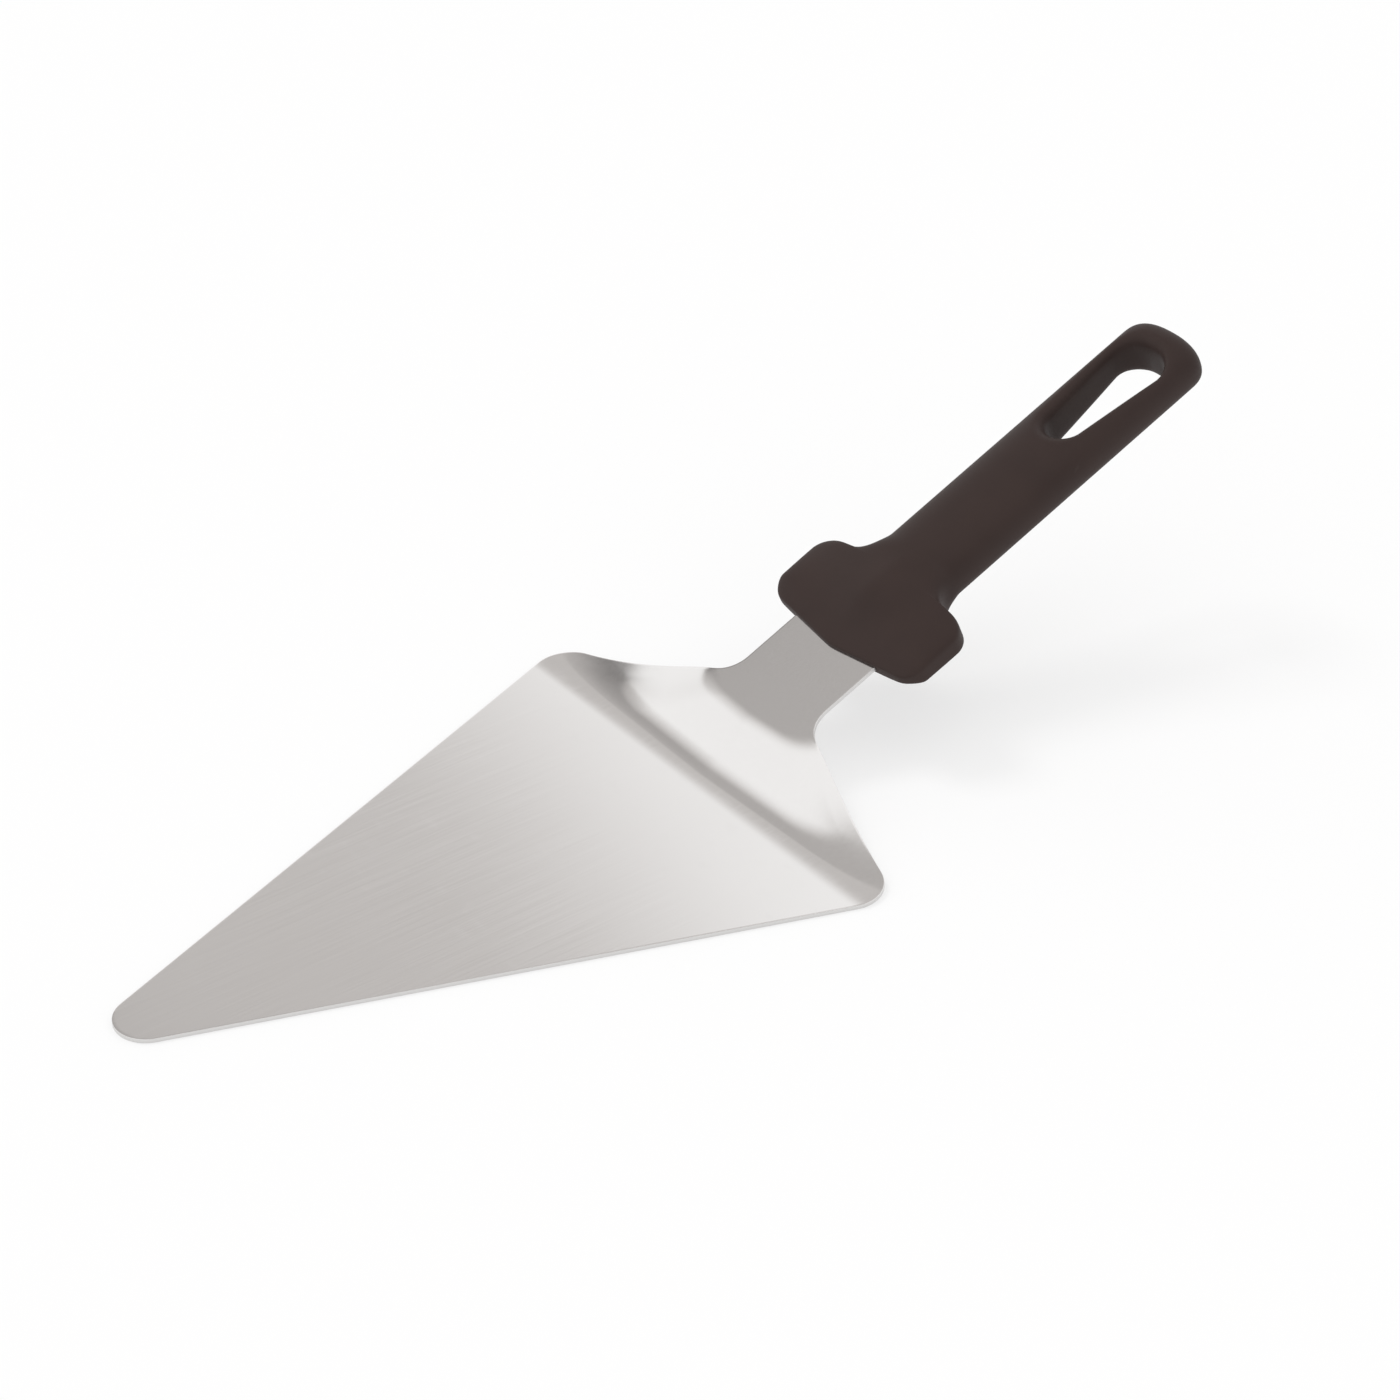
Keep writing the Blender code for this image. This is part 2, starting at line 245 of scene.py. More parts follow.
def unit(vectors):
    """Vectors brought to length 1, where they have a length."""
    length = np.linalg.norm(vectors, axis=-1, keepdims=True)
    return vectors / np.where(length > 0.0, length, 1.0)


def arc(centre, radius, start, end, steps=ARC_STEPS, side=1.0):
    """Rows of x, y, normal x and normal y along an arc. Side is -1 where the material is outside it."""
    angles = np.linspace(start, end, steps + 1)
    normal = np.stack([np.cos(angles), np.sin(angles)], axis=1)
    return np.hstack([np.array(centre) + radius * normal, side * normal])


def shoulder_path(widest, half, corner, start, sweep, inner_half, fillet):
    """Half outline from a wide part to a stem: a corner, a swept rear edge and a fillet."""
    rounded = arc((widest, half - corner), corner, start, sweep)
    edge_x, edge_y = rounded[-1, :2]
    fillet_y = inner_half + fillet * (1.0 - math.sin(sweep))
    fillet_x = edge_x + (edge_y - fillet_y) * math.tan(sweep)
    fillet_centre = (fillet_x + fillet * math.cos(sweep), inner_half + fillet)
    hollow = arc(fillet_centre, fillet, math.pi + sweep, 1.5 * math.pi, side=-1.0)
    return np.vstack([rounded, hollow])


def add_mesh_object(name, points, faces):
    mesh = bpy.data.meshes.new(name)
    mesh.from_pydata(np.asarray(points).tolist(), [], faces)
    obj = bpy.data.objects.new(name, mesh)
    bpy.context.scene.collection.objects.link(obj)
    return obj


def cut_away(obj, cutters):
    """Cuts the cutters' space out of a mesh, for good, and removes them."""
    for cutter in cutters:
        modifier = obj.modifiers.new(cutter.name, "BOOLEAN")
        modifier.operation = "DIFFERENCE"
        modifier.object = cutter
    graph = bpy.context.evaluated_depsgraph_get()
    whole = obj.data
    obj.data = bpy.data.meshes.new_from_object(obj.evaluated_get(graph))
    obj.modifiers.clear()
    bpy.data.meshes.remove(whole)
    for cutter in cutters:
        bpy.data.objects.remove(cutter)


def weld(obj):
    """Joins points that meet, and turns every face outward."""
    mesh = bmesh.new()
    mesh.from_mesh(obj.data)
    bmesh.ops.remove_doubles(mesh, verts=mesh.verts, dist=WELD)
    bmesh.ops.recalc_face_normals(mesh, faces=mesh.faces)
    mesh.to_mesh(obj.data)
    mesh.free()


def dress(obj, node, material):
    """Makes a mesh the piece that stands for a CAD node."""
    obj.data.shade_smooth()
    obj.data.set_sharp_from_angle(angle=SHARP_ANGLE)
    obj.data.materials.clear()
    obj.data.materials.append(material)
    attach(obj, "root")
    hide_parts(node)


def strip_faces(first, count, closed):
    """Quads between two rows of points that follow each other."""
    last = count if closed else count - 1
    return [(first + i, first + (i + 1) % count, first + count + (i + 1) % count, first + count + i)
            for i in range(last)]


def prism(name, loops):
    """A closed solid through a stack of loops with equal counts of points."""
    count = len(loops[0])
    faces = [tuple(reversed(range(count)))]
    last = (len(loops) - 1) * count
    for first in range(0, last, count):
        faces += strip_faces(first, count, True)
    faces.append(tuple(range(last, last + count)))
    return add_mesh_object(name, np.vstack(loops), faces)


# Blade


RISER_X = BEND_FROM_TIP + FOOT_LENGTH
CREASE_X = RISER_X + RISER_RUN
CREASE_Z = RISER_RUN * math.tan(RISER_ANGLE)
NOSE_X = CREASE_X + NECK_LENGTH * math.cos(NECK_ANGLE)
NOSE_Z = CREASE_Z + NECK_LENGTH * math.sin(NECK_ANGLE)

# Frame of the handle: from the middle of the sheet at the nose, X to the butt and Z out of its top
HANDLE_FRAME = Matrix.Translation((
    NOSE_X - REST_FROM_TIP - SHEET_THICKNESS / 2 * math.sin(NECK_ANGLE),
    0.0,
    NOSE_Z + SHEET_THICKNESS / 2 * math.cos(NECK_ANGLE),
)) @ Matrix.Rotation(-NECK_ANGLE, 4, "Y")


def higher(first, second, softness):
    """The higher of two faces, rounded where they meet."""
    near = np.maximum(0.0, 1.0 - np.abs(first - second) / softness)
    return np.maximum(first, second) + softness / 4 * near ** 2


def lower(first, second, softness):
    """The lower of two faces, rounded where they meet."""
    return -higher(-first, -second, softness)


def riser_height(x, out):
    return math.tan(RISER_ANGLE) * (x - RISER_X) - RISER_FALL * out


def gusset_height(x, out):
    foot = RISER_X + GUSSET_SETBACK
    rise = GUSSET_SLOPE * (x - foot) - GUSSET_FALL * (out - GUSSET_HALF_WIDTH)
    return riser_height(foot, GUSSET_HALF_WIDTH) + rise


def shoulder_height(x, out):
    return SHOULDER_SLOPE * (x - RISER_X - SHOULDER_SETBACK) - SHOULDER_FALL * (out - SHOULDER_HALF_WIDTH)


def sheet_height(x, y):
    """Height of the underside, folded from flat faces with rounded bends between them."""
    out = np.hypot(y, CENTRE_SOFTNESS) - CENTRE_SOFTNESS
    flat = higher(0.0, math.tan(FOOT_ANGLE) * (x - BEND_FROM_TIP), FOOT_SOFTNESS)
    ends = higher(gusset_height(x, out), shoulder_height(x, out), SHOULDER_SOFTNESS)
    riser = lower(riser_height(x, out), ends, GUSSET_SOFTNESS)
    neck = CREASE_Z + math.tan(NECK_ANGLE) * (x - CREASE_X)
    return higher(flat, lower(riser, neck, CREASE_SOFTNESS), RISER_SOFTNESS)


def sheet_slopes(x, y):
    """Slopes of the sheet along X and along Y."""
    along = sheet_height(x + NORMAL_REACH, y) - sheet_height(x - NORMAL_REACH, y)
    across = sheet_height(x, y + NORMAL_REACH) - sheet_height(x, y - NORMAL_REACH)
    return along / (2 * NORMAL_REACH), across / (2 * NORMAL_REACH)


def tang_path(gap=0.0):
    """Half outline of the tang from the nose of the handle, grown by a gap all round."""
    neck = NECK_WIDTH / 2 + gap
    tang = TANG_WIDTH / 2 + gap
    end = TANG_LENGTH + gap
    return [
        (TANG_STEP, neck),
        (TANG_STEP + TANG_TAPER, tang),
        (end - TANG_CORNER, tang),
        (end, tang - TANG_CORNER),
    ]


def lock_posts(name, radius, half_height):
    """Round posts at the lock holes, in the handle's frame, turned by half a step of their points."""
    angles = math.tau * (np.arange(HOLE_POINTS) + 0.5) / HOLE_POINTS
    posts = []
    for i in range(LOCK_HOLE_COUNT):
        x = TANG_LENGTH - LOCK_HOLE_FROM_END - LOCK_HOLE_PITCH * i + radius * np.cos(angles)
        y = radius * np.sin(angles)
        loops = [np.stack([x, y, np.full(HOLE_POINTS, z)], axis=1) for z in (-half_height, half_height)]
        posts.append(prism(f"{name}_{i + 1}", loops))
    return posts


def blade_outline():
    """Half outline of the sheet behind the front of its tip, in rows of x, y and outward normal."""
    shoulder_y = BLADE_WIDTH / 2 - SHOULDER_RADIUS
    across = SHOULDER_FROM_TIP - TIP_RADIUS
    lean = math.asin((TIP_RADIUS - SHOULDER_RADIUS) / math.hypot(across, shoulder_y))
    edge_normal = math.pi / 2 + math.atan2(shoulder_y, across) - lean
    tip_centre = (TIP_RADIUS, 0.0)
    tip = arc(tip_centre, TIP_RADIUS, math.pi - TIP_ROW_ANGLE, edge_normal, ARC_STEPS // 2)
    rear = shoulder_path(
        SHOULDER_FROM_TIP, BLADE_WIDTH / 2, SHOULDER_RADIUS, edge_normal,
        REAR_EDGE_SWEEP, NECK_WIDTH / 2, NECK_FILLET,
    )
    bend_x = BEND_FROM_TIP - BEND_REACH
    bend = tip[-1] + (rear[0] - tip[-1]) * (bend_x - tip[-1, 0]) / (rear[0, 0] - tip[-1, 0])
    tang = [(NOSE_X + along * math.cos(NECK_ANGLE), half, 0.0, 1.0) for along, half in tang_path()]
    path = np.vstack([tip, bend, rear, tang])
    path[-1, 2:] = math.sqrt(0.5)
    rows = [path[0]]
    for start, end in zip(path, path[1:]):
        bent = bend_x < end[0] < CREASE_X + BEND_REACH
        count = math.ceil((end[0] - start[0]) / (BEND_STEP if bent else FLAT_STEP))
        rows += [start + (end - start) * (i + 1) / count for i in range(count)]
    rows = np.array(rows)
    rows[:, 2:] = unit(rows[:, 2:])
    return rows


def blade_plan(outline):
    """Plan places of the sheet's points in rows across it, and the outward normals at its edge."""
    inset = EDGE_ROUND + EDGE_BAND
    share = np.linspace(-1.0, 1.0, BLADE_COLUMNS - 1)
    places = np.zeros((len(outline), BLADE_COLUMNS + 1, 2))
    normals = np.zeros_like(places)
    for row, (x, half, out_x, out_y) in enumerate(outline):
        inner_x, inner_half = x - inset * out_x, half - inset * out_y
        bulge = TIP_RADIUS * (1.0 - math.cos(TIP_ROW_ANGLE)) * max(0.0, 1.0 - x / TIP_FADE)
        places[row, 1:-1, 0] = inner_x - bulge * (1.0 - share ** 2)
        places[row, 1:-1, 1] = inner_half * share
        places[row, [0, -1]] = (x, -half), (x, half)
        normals[row, [0, -1]] = (out_x, -out_y), (out_x, out_y)
    around_tip = TIP_ROW_ANGLE * np.concatenate([[-1.0], share * (1.0 - inset / TIP_RADIUS), [1.0]])
    normals[0] = np.stack([-np.cos(around_tip), np.sin(around_tip)], axis=1)
    places[0] = (TIP_RADIUS, 0.0) + TIP_RADIUS * normals[0]
    places[-1, 1:-1, 0] = outline[-1, 0]
    normals[-1, 1:-1] = 1.0, 0.0
    return places, normals


def sheet_surface(places, normals):
    """Base points on the underside, unit normals of the sheet and unit directions out of its edge."""
    x, y = places[..., 0], places[..., 1]
    slope_x, slope_y = sheet_slopes(x, y)
    base = np.stack([x, y, sheet_height(x, y)], axis=-1)
    up = unit(np.stack([-slope_x, -slope_y, np.ones_like(x)], axis=-1))
    rise = normals[..., 0] * slope_x + normals[..., 1] * slope_y
    out = unit(np.concatenate([normals, rise[..., None]], axis=-1))
    return base, up, out


def edge_profile():
    """Places round the sheet's edge, from its top to its underside, as (outward, upward)."""
    quarter = np.linspace(math.pi / 2, 0.0, EDGE_STEPS + 1)
    out = EDGE_ROUND * (np.cos(quarter) - 1.0)
    up = EDGE_ROUND * (np.sin(quarter) - 1.0)
    top = np.stack([out, SHEET_THICKNESS + up], axis=1)
    return np.vstack([top, np.stack([out, -up], axis=1)[::-1]])


def blade_mesh():
    """Points and faces of the sheet: its two faces in rows, and a rounded edge all round them."""
    base, up, out = sheet_surface(*blade_plan(blade_outline()))
    layers = [(base + outward * out + upward * up).reshape(-1, 3) for outward, upward in edge_profile()]
    rows, columns = base.shape[:2]
    size = rows * columns
    index = np.arange(size).reshape(rows, columns)
    rim = np.concatenate([index[0], index[1:, -1], index[-1, -2::-1], index[-2:0:-1, 0]])
    points = [layers[0], layers[-1]] + [layer[rim] for layer in layers[1:-1]]
    between = 2 * size + np.arange(len(rim) * (len(layers) - 2)).reshape(-1, len(rim))
    rims = [rim, *between, rim + size]
    quads = np.stack([index[:-1, :-1], index[1:, :-1], index[1:, 1:], index[:-1, 1:]], axis=-1)
    quads = quads.reshape(-1, 4)
    faces = [quads, size + quads[:, ::-1]]
    for above, below in zip(rims, rims[1:]):
        faces.append(np.stack([above, np.roll(above, -1), np.roll(below, -1), below], axis=-1))
    return np.vstack(points), np.vstack(faces).tolist()


def make_blade(material):
    points, faces = blade_mesh()
    blade = add_mesh_object("satin_blade", points - (REST_FROM_TIP, 0.0, 0.0), faces)
    holes = lock_posts("lock_hole", LOCK_HOLE_DIAMETER / 2, GRIP_THICKNESS / 2)
    for hole in holes:
        hole.data.transform(HANDLE_FRAME)
    cut_away(blade, holes)
    weld(blade)
    dress(blade, "blade", material)


# Handle, laid out along its own frame


def tang_cavity():
    """The space that the neck and tang take up in the handle, open at the nose, round its two plugs."""
    path = [(-NECK_LENGTH / 2, NECK_WIDTH / 2 + MOULD_GAP)] + tang_path(MOULD_GAP)
    outline = [(x, -half) for x, half in path] + [(x, half) for x, half in reversed(path)]
    half_height = SHEET_THICKNESS / 2 + MOULD_GAP
    loops = [[(x, y, z) for x, y in outline] for z in (-half_height, half_height)]
    cavity = prism("tang_cavity", loops)
    cut_away(cavity, lock_posts("lock_plug", LOCK_HOLE_DIAMETER / 2 - MOULD_GAP, GRIP_THICKNESS / 2))
    return cavity


def handle_section(x):
    """Half thickness on the centre line and at the sides, and the squareness, at places along it."""
    nose, grip = NOSE_THICKNESS / 2, GRIP_THICKNESS / 2
    tip = NOSE_ROUND * (superellipse(1.0 - np.clip(x / NOSE_ROUND, 0.0, 1.0), 2.0) - 1.0)
    centre = nose + (grip - nose) * smooth_step(x, 0.0, NOSE_RAMP)
    side = nose + (GUARD_END_THICKNESS / 2 - nose) * smooth_step(x, 0.0, GUARD_FRONT_CORNER)
    past_guard = smooth_step(x, GUARD_DEPTH, GUARD_DEPTH + GUARD_BLEND)
    side = side + (grip - side) * past_guard
    squareness = GUARD_SQUARENESS + (GRIP_SQUARENESS - GUARD_SQUARENESS) * past_guard
    butt = superellipse((x - HANDLE_LENGTH + BUTT_LENGTH) / BUTT_LENGTH, BUTT_SIDE_SQUARENESS)
    return (centre + tip) * butt, (side + tip) * butt, squareness


def handle_points(x, half, angle):
    """Places on the handle's skin at a distance from the nose and an angle round the section."""
    centre, side, squareness = handle_section(x)
    across, up = np.cos(angle), np.sin(angle)
    size = (np.abs(across) ** squareness + np.abs(up) ** squareness) ** (-1.0 / squareness)
    y = half * across * size
    from_ridge = np.hypot(y, RIDGE_SOFTNESS) - RIDGE_SOFTNESS
    thickness = centre + (side - centre) * from_ridge / (GUARD_WIDTH / 2)
    sweep = math.tan(NOSE_ANGLE) * (1.0 - smooth_step(x, 0.0, GUARD_DEPTH))
    return np.stack([x + sweep * from_ridge, y, thickness * up * size], axis=-1)


def butt_half_width(x):
    """Half width of the grip, which rounds off over the butt's length."""
    share = (x - HANDLE_LENGTH + BUTT_LENGTH) / BUTT_LENGTH
    return GRIP_WIDTH / 2 * superellipse(share, BUTT_PLAN_SQUARENESS)


def handle_stations():
    """Distance from the nose and half width of the rings from the nose to the slot's stretch."""
    guard = GUARD_WIDTH / 2
    corner = GUARD_FRONT_CORNER
    front = arc((corner, guard - corner), corner, math.pi, math.pi / 2, ARC_STEPS // 2)[:, :2]
    rear = shoulder_path(
        GUARD_DEPTH - GUARD_REAR_CORNER, guard, GUARD_REAR_CORNER, math.pi / 2,
        GUARD_REAR_SWEEP, GRIP_WIDTH / 2, GUARD_FILLET,
    )[:, :2]
    middle = np.linspace(front[-1], rear[0], GUARD_STATIONS)[1:-1]
    grip = np.linspace(rear[-1], (SLOT_STRETCH[0], GRIP_WIDTH / 2), GRIP_STATIONS)[1:]
    return np.vstack([front, middle, rear, grip])


def butt_stations():
    """Distance from the nose and half width of the rings past the slot's stretch, closer at the end."""
    start = SLOT_STRETCH[1]
    turns = np.linspace(0.0, math.pi / 2, BUTT_STEPS + 1)[:-1]
    x = start + (HANDLE_LENGTH - start) * np.sin(turns)
    return np.stack([x, butt_half_width(x)], axis=1)


def slot_path():
    """Half outline of the slot from its narrow end to its wide one, in rows of x, y and normal,
    with the lengths along it of the two places that face the corners of its stretch."""
    end = HANDLE_LENGTH - SLOT_BUTT_WALL
    narrow = np.array([end - SLOT_LENGTH + SLOT_NARROW / 2, 0.0])
    wide = np.array([end - SLOT_CORNER, SLOT_WIDE / 2 - SLOT_CORNER])
    reach = wide - narrow
    tangent = math.acos((SLOT_NARROW / 2 - SLOT_CORNER) / np.linalg.norm(reach))
    flank = math.atan2(reach[1], reach[0]) + tangent
    front = arc(narrow, SLOT_NARROW / 2, math.pi, flank)
    corner = arc(wide, SLOT_CORNER, flank, 0.0)
    path = np.vstack([front, corner, [(end, 0.0, 1.0, 0.0)]])
    steps = np.linalg.norm(np.diff(path[:, :2], axis=0), axis=1)
    length = np.concatenate([[0.0], np.cumsum(steps)])
    return path, length, length[ARC_STEPS], length[ARC_STEPS + 1 + ARC_STEPS // 2]


def slot_layout():
    """The slot's outline and the border of its stretch, point against point, on one side."""
    path, length, narrow_end, wide_corner = slot_path()
    places = np.concatenate([
        np.linspace(0.0, narrow_end, RING_QUARTER + 1),
        np.linspace(narrow_end, wide_corner, SLOT_SIDE_STEPS + 1)[1:],
        np.linspace(wide_corner, length[-1], RING_QUARTER + 1)[1:],
    ])
    slot = np.stack([np.interp(places, length, column) for column in path.T], axis=1)
    slot[:, 2:] = unit(slot[:, 2:])
    start, end = SLOT_STRETCH
    quarter = np.linspace(math.pi / 2, 0.0, RING_QUARTER + 1)
    border = np.vstack([
        np.stack([np.full_like(quarter, start), quarter], axis=1),
        np.linspace((start, 0.0), (end, 0.0), SLOT_SIDE_STEPS + 1)[1:],
        np.stack([np.full_like(quarter, end), quarter[::-1]], axis=1)[1:],
    ])
    return slot, border


def skin_angle(x, y):
    """Angle round the section of a place on the top of the grip."""
    across = y / butt_half_width(x)
    return np.arctan2(superellipse(np.abs(across), GRIP_SQUARENESS), across)


def slot_levels():
    """Loops from the middle of the slot's wall, over its rounded rim, to the border of its stretch."""
    slot, border = slot_layout()
    levels = []
    for turn in np.linspace(math.pi / 2, 0.0, RIM_STEPS + 1):
        x, y = (slot[:, :2] + SLOT_RIM * (1.0 - math.sin(turn)) * slot[:, 2:]).T
        loop = handle_points(x, butt_half_width(x), skin_angle(x, y))
        loop[:, 2] -= SLOT_RIM * (1.0 - math.cos(turn))
        levels.append(loop)
    heights = np.linspace(0.0, 1.0, WALL_STEPS + 1)[:-1]
    wall = [levels[0] * (1.0, 1.0, height) for height in heights]
    rim = np.stack([x, skin_angle(x, y)], axis=1)
    for share in np.linspace(0.0, 1.0, SLOT_BANDS + 1)[1:]:
        x, angle = (rim + share * (border - rim)).T
        levels.append(handle_points(x, butt_half_width(x), angle))
    return wall + levels


def nose_faces(count):
    """Faces that close the first ring: one round each of its ends, and quads across it."""
    turns = range(NOSE_END, -NOSE_END - 1, -1)
    ends = [tuple((end + turn) % count for turn in turns) for end in (0, count // 2)]
    across = [(count - i, count - i - 1, i + 1, i) for i in range(NOSE_END, count // 2 - NOSE_END)]
    return ends + across


def handle_mesh():
    """Points and faces of the moulding's skin, with open seams that are welded afterwards."""
    count = 4 * RING_QUARTER
    angles = math.tau * np.arange(count) / count
    points, faces = [], []
    for stations in (handle_stations(), butt_stations()):
        for station, (x, half) in enumerate(stations):
            points.append(handle_points(x, half, angles))
            if station:
                faces += strip_faces((len(points) - 2) * count, count, True)
    first = len(points) * count
    faces.append(tuple(range(first - count, first)))
    faces += nose_faces(count)
    levels = slot_levels()
    for flip in ((1, 1, 1), (1, -1, 1), (1, 1, -1), (1, -1, -1)):
        for level, loop in enumerate(levels):
            points.append(loop * flip)
            if level:
                faces += strip_faces(first, len(loop), False)
                first += len(loop)
        first += len(levels[-1])
    return np.vstack(points), faces


def make_handle(material):
    handle = add_mesh_object("moulded_handle", *handle_mesh())
    weld(handle)
    cut_away(handle, [tang_cavity()])
    handle.data.transform(HANDLE_FRAME)
    dress(handle, "handle", material)


# Materials


def feed(tree, socket, value):
    """Links an input to another node's output, or sets it to a value."""
    if isinstance(value, bpy.types.NodeSocket):
        tree.links.new(value, socket)
    else:
        socket.default_value = value


def add_node(tree, kind, inputs, **settings):
    """A node with its settings and inputs."""
    node = tree.nodes.new(kind)
    for name, value in settings.items():
        setattr(node, name, value)
    for name, value in inputs.items():
        feed(tree, node.inputs[name], value)
    return node


def new_material(name):
    material = bpy.data.materials.new(name)
    material.use_nodes = True
    tree = material.node_tree
    place = add_node(tree, "ShaderNodeTexCoord", {}).outputs["Object"]
    return material, tree, tree.nodes["Principled BSDF"], place


def noise(tree, place, scale, detail):
    """A noise value, drawn out along an axis where the scale has three parts."""
    if isinstance(scale, tuple):
        place = add_node(tree, "ShaderNodeMapping", {"Vector": place, "Scale": scale}).outputs["Vector"]
        scale = 1.0
    inputs = {"Vector": place, "Scale": scale, "Detail": detail}
    return add_node(tree, "ShaderNodeTexNoise", inputs).outputs["Fac"]


def remap(tree, value, low, high, start=NOISE_RANGE[0], end=NOISE_RANGE[1]):
    """From low to high as a value goes from start to end."""
    inputs = {"Value": value, "From Min": start, "From Max": end, "To Min": low, "To Max": high}
    return add_node(tree, "ShaderNodeMapRange", inputs).outputs["Result"]


def mix_colour(tree, share, first, second):
    node = add_node(tree, "ShaderNodeMix", {"Factor": share}, data_type="RGBA")
    colours = [socket for socket in node.inputs if socket.type == "RGBA"]
    for socket, colour in zip(colours, (first, second)):
        feed(tree, socket, colour)
    return next(socket for socket in node.outputs if socket.type == "RGBA")


def maths(tree, operation, first, second):
    node = add_node(tree, "ShaderNodeMath", {}, operation=operation)
    for socket, value in zip(node.inputs, (first, second)):
        feed(tree, socket, value)
    return node.outputs["Value"]


def bump(tree, height, strength, distance):
    inputs = {"Height": height, "Strength": strength, "Distance": distance}
    return add_node(tree, "ShaderNodeBump", inputs).outputs["Normal"]


def satin_steel():
    """Rolled stainless sheet with a fine lengthwise grain, faint rubbed marks and a rougher cut edge,
    darkened with painted shade.
    """
    material, tree, shader, place = new_material("satin_steel")
    grain = noise(tree, place, **GRAIN)
    cloud = noise(tree, place, **STEEL_CLOUD)
    marks = noise(tree, place, **MARKS)
    facing = add_node(tree, "ShaderNodeTexCoord", {}).outputs["Normal"]
    upward = add_node(tree, "ShaderNodeSeparateXYZ", {"Vector": facing}).outputs["Z"]
    # Faces of the sheet that look sideways are its cut edge: rougher, and coloured darker as painted
    # shade
    sheared_and_shaded = remap(tree, maths(tree, "ABSOLUTE", upward, 0.0), 1.0, 0.0, *SHEARED_FACING)
    sheet = mix_colour(tree, remap(tree, grain, 0.0, 1.0), STEEL_SHADE, STEEL_COLOUR)
    streaks = remap(tree, grain, *GRAIN_ROUGHNESS)
    blotches = remap(tree, cloud, *STEEL_ROUGHNESS)
    rubbed = remap(tree, marks, *MARKS_ROUGHNESS, *MARKS_RANGE)
    rough = maths(tree, "ADD", maths(tree, "ADD", streaks, blotches), rubbed)
    torn = maths(tree, "MULTIPLY", sheared_and_shaded, SHEARED_ROUGHNESS)
    # Painted shade: the cut edge takes a darker colour
    feed(tree, shader.inputs["Base Color"], mix_colour(tree, sheared_and_shaded, sheet, CUT_EDGE_PAINTED_SHADE))
    feed(tree, shader.inputs["Roughness"], maths(tree, "ADD", rough, torn))
    feed(tree, shader.inputs["Normal"], bump(tree, grain, *GRAIN_BUMP))
    feed(tree, shader.inputs["Metallic"], 1.0)
    return material


def matte_plastic():
    """Dark moulded plastic with a fine eroded texture, a little paler where edges are rubbed."""
    material, tree, shader, place = new_material("matte_plastic")
    texture = noise(tree, place, **TEXTURE)
    cloud = noise(tree, place, **PLASTIC_CLOUD)
    edges = add_node(tree, "ShaderNodeNewGeometry", {}).outputs["Pointiness"]
    colour = mix_colour(tree, remap(tree, cloud, 0.0, 1.0), PLASTIC_SHADE, PLASTIC_COLOUR)
    rubbed = remap(tree, edges, *PLASTIC_WEAR, *PLASTIC_EDGE)
    uneven = maths(tree, "MULTIPLY", texture, cloud)
    feed(tree, shader.inputs["Base Color"], mix_colour(tree, rubbed, colour, PLASTIC_WORN))
    feed(tree, shader.inputs["Roughness"], remap(tree, uneven, *PLASTIC_ROUGHNESS, *TEXTURE_RANGE))
    feed(tree, shader.inputs["Normal"], bump(tree, texture, *TEXTURE_BUMP))
    feed(tree, shader.inputs["Specular IOR Level"], PLASTIC_SPECULAR)
    return material


# Studio


def direction(azimuth, elevation):
    """Unit vector towards an azimuth, from +X to +Y, and an elevation."""
    level = math.cos(elevation)
    return Vector((level * math.cos(azimuth), level * math.sin(azimuth), math.sin(elevation)))


def make_floor():
    half = FLOOR_SIZE / 2
    corners = [(-half, -half, 0.0), (half, -half, 0.0), (half, half, 0.0), (-half, half, 0.0)]
    floor = add_mesh_object("floor", corners, [(0, 1, 2, 3)])
    material = bpy.data.materials.new("white_floor")
    material.use_nodes = True
    tree = material.node_tree
    looks = {
        "Base Color": FLOOR_COLOUR, "Roughness": 1.0, "Specular IOR Level": 0.0,
        "Emission Color": WHITE, "Emission Strength": FLOOR_GLOW,
    }
    for name, value in looks.items():
        feed(tree, tree.nodes["Principled BSDF"].inputs[name], value)
    floor.data.materials.append(material)


def soft_edge(tree, value, edge):
    """A smooth step from 0 to 1 across an edge given in degrees."""
    inputs = {"Value": value, "From Min": math.radians(edge[0]), "From Max": math.radians(edge[1])}
    return add_node(tree, "ShaderNodeMapRange", inputs, interpolation_type="SMOOTHSTEP").outputs["Result"]


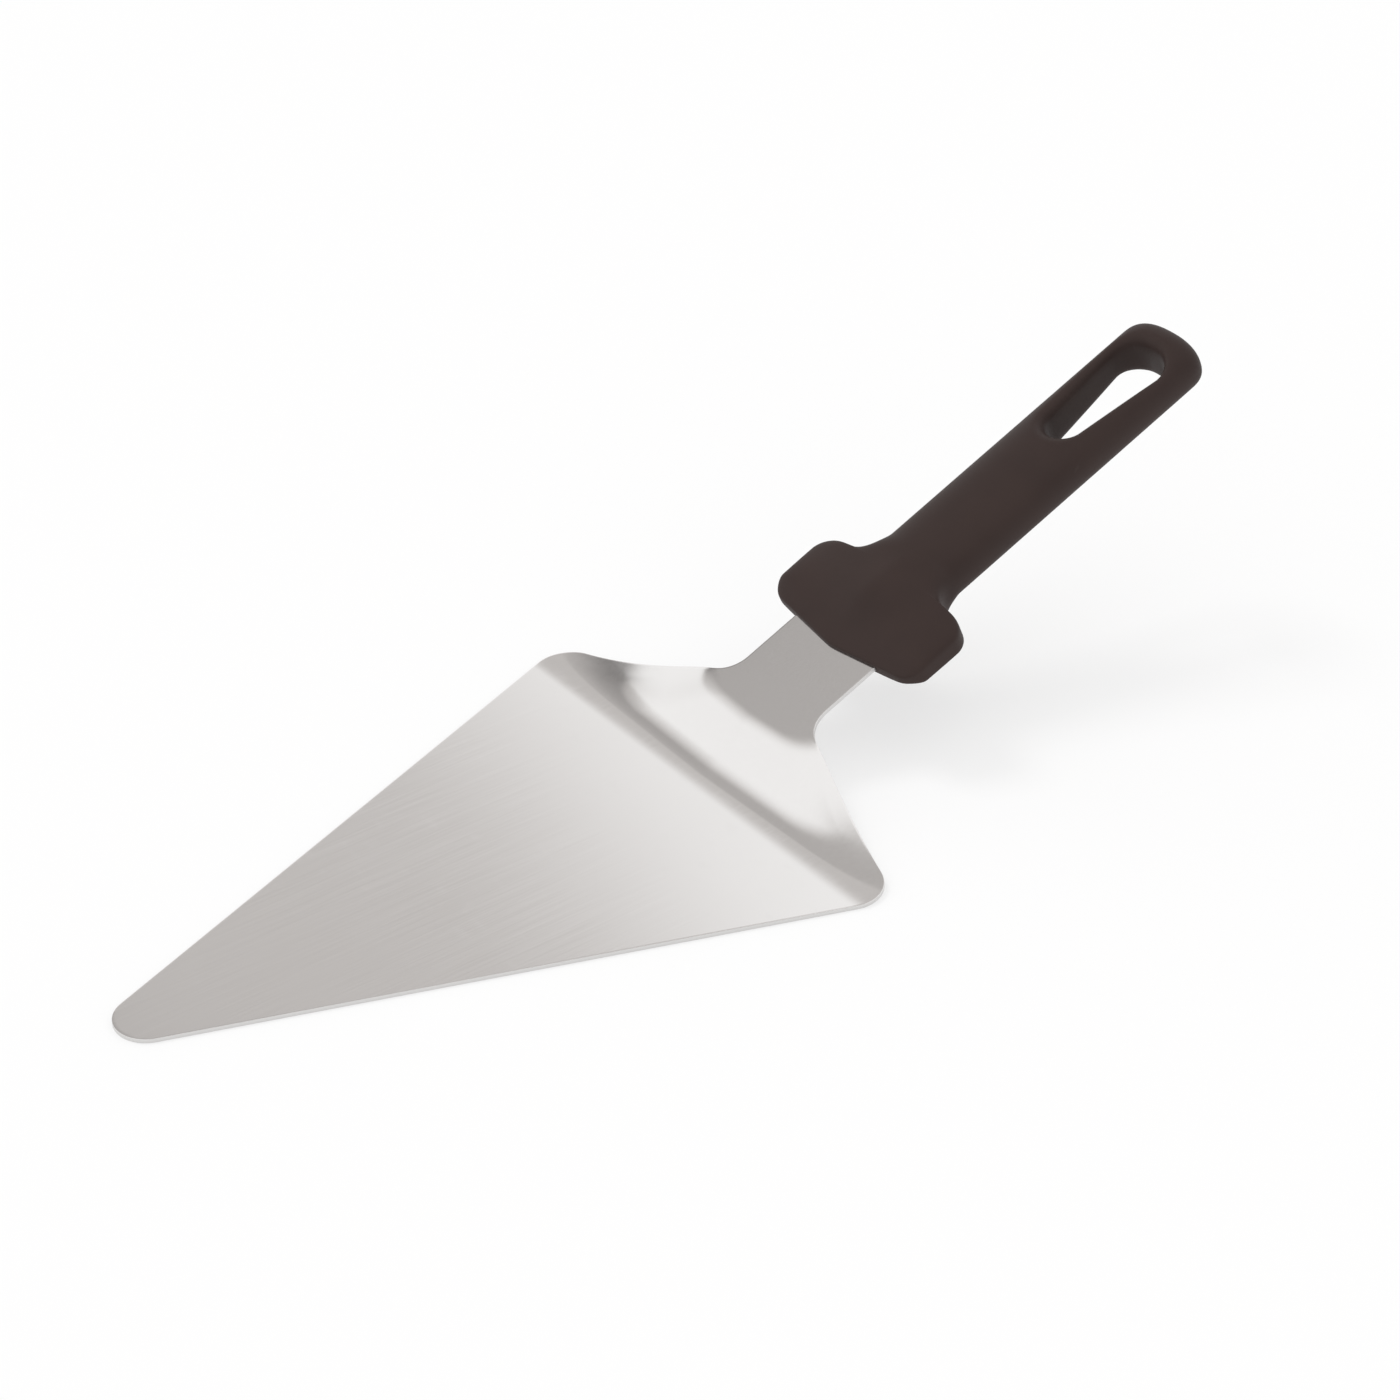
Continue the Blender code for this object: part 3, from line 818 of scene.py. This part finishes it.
def gap_share(tree, azimuth, elevation, gap):
    """1 within a gap between panels and 0 outside it, with soft edges."""
    past_corner = maths(tree, "SUBTRACT", azimuth, math.radians(GAP_CORNER[0]))
    above_corner = maths(tree, "SUBTRACT", elevation, math.radians(GAP_CORNER[1]))
    leaned = maths(tree, "ADD", azimuth, maths(tree, "MULTIPLY", above_corner, gap["lean"]))
    tilted = maths(tree, "ADD", elevation, maths(tree, "MULTIPLY", past_corner, gap["tilt"]))
    left = soft_edge(tree, leaned, gap["left"])
    right = soft_edge(tree, azimuth, gap["right"])
    bottom = soft_edge(tree, tilted, gap["bottom"])
    top = soft_edge(tree, elevation, gap["top"])
    across = maths(tree, "SUBTRACT", left, right)
    upward = maths(tree, "SUBTRACT", bottom, top)
    return maths(tree, "MULTIPLY", across, upward)


def make_surround():
    """White light from all round, dimmer in the gaps between its panels and tinted in the first."""
    world = bpy.data.worlds.new("studio")
    world.use_nodes = True
    bpy.context.scene.world = world
    tree = world.node_tree
    towards = add_node(tree, "ShaderNodeTexCoord", {}).outputs["Generated"]
    axes = add_node(tree, "ShaderNodeSeparateXYZ", {"Vector": towards}).outputs
    azimuth = maths(tree, "FLOORED_MODULO", maths(tree, "ARCTAN2", axes["Y"], axes["X"]), math.pi)
    elevation = maths(tree, "ARCSINE", axes["Z"], 0.0)
    gaps = (PANEL_GAP, INNER_GAP, LOW_GAP)
    shares = [gap_share(tree, azimuth, elevation, gap) for gap in gaps]
    strength = SURROUND_STRENGTH
    for gap, share in zip(gaps, shares):
        strength = maths(tree, "SUBTRACT", strength, maths(tree, "MULTIPLY", share, gap["depth"]))
    background = tree.nodes["Background"]
    feed(tree, background.inputs["Color"], mix_colour(tree, shares[0], WHITE, GAP_TINT))
    feed(tree, background.inputs["Strength"], strength)


def make_key_light():
    """A broad soft light that lays the shadow to the right. The steel mirrors the surround alone."""
    lamp = bpy.data.lights.new("key", "SUN")
    lamp.energy = KEY_STRENGTH
    lamp.angle = KEY_ANGLE
    key = bpy.data.objects.new("key", lamp)
    bpy.context.scene.collection.objects.link(key)
    key.rotation_euler = direction(KEY_AZIMUTH, KEY_ELEVATION).to_track_quat("Z", "Y").to_euler()
    key.visible_glossy = False


def make_camera():
    data = bpy.data.cameras.new("camera")
    data.lens = CAMERA_LENS
    camera = bpy.data.objects.new("camera", data)
    bpy.context.scene.collection.objects.link(camera)
    back = direction(CAMERA_AZIMUTH, CAMERA_ELEVATION)
    camera.location = CAMERA_TARGET + CAMERA_DISTANCE * back
    camera.rotation_euler = back.to_track_quat("Z", "Y").to_euler()
    bpy.context.scene.camera = camera


make_blade(satin_steel())
make_handle(matte_plastic())
make_floor()
make_surround()
make_key_light()
make_camera()
bpy.context.scene.view_settings.view_transform = "Standard"
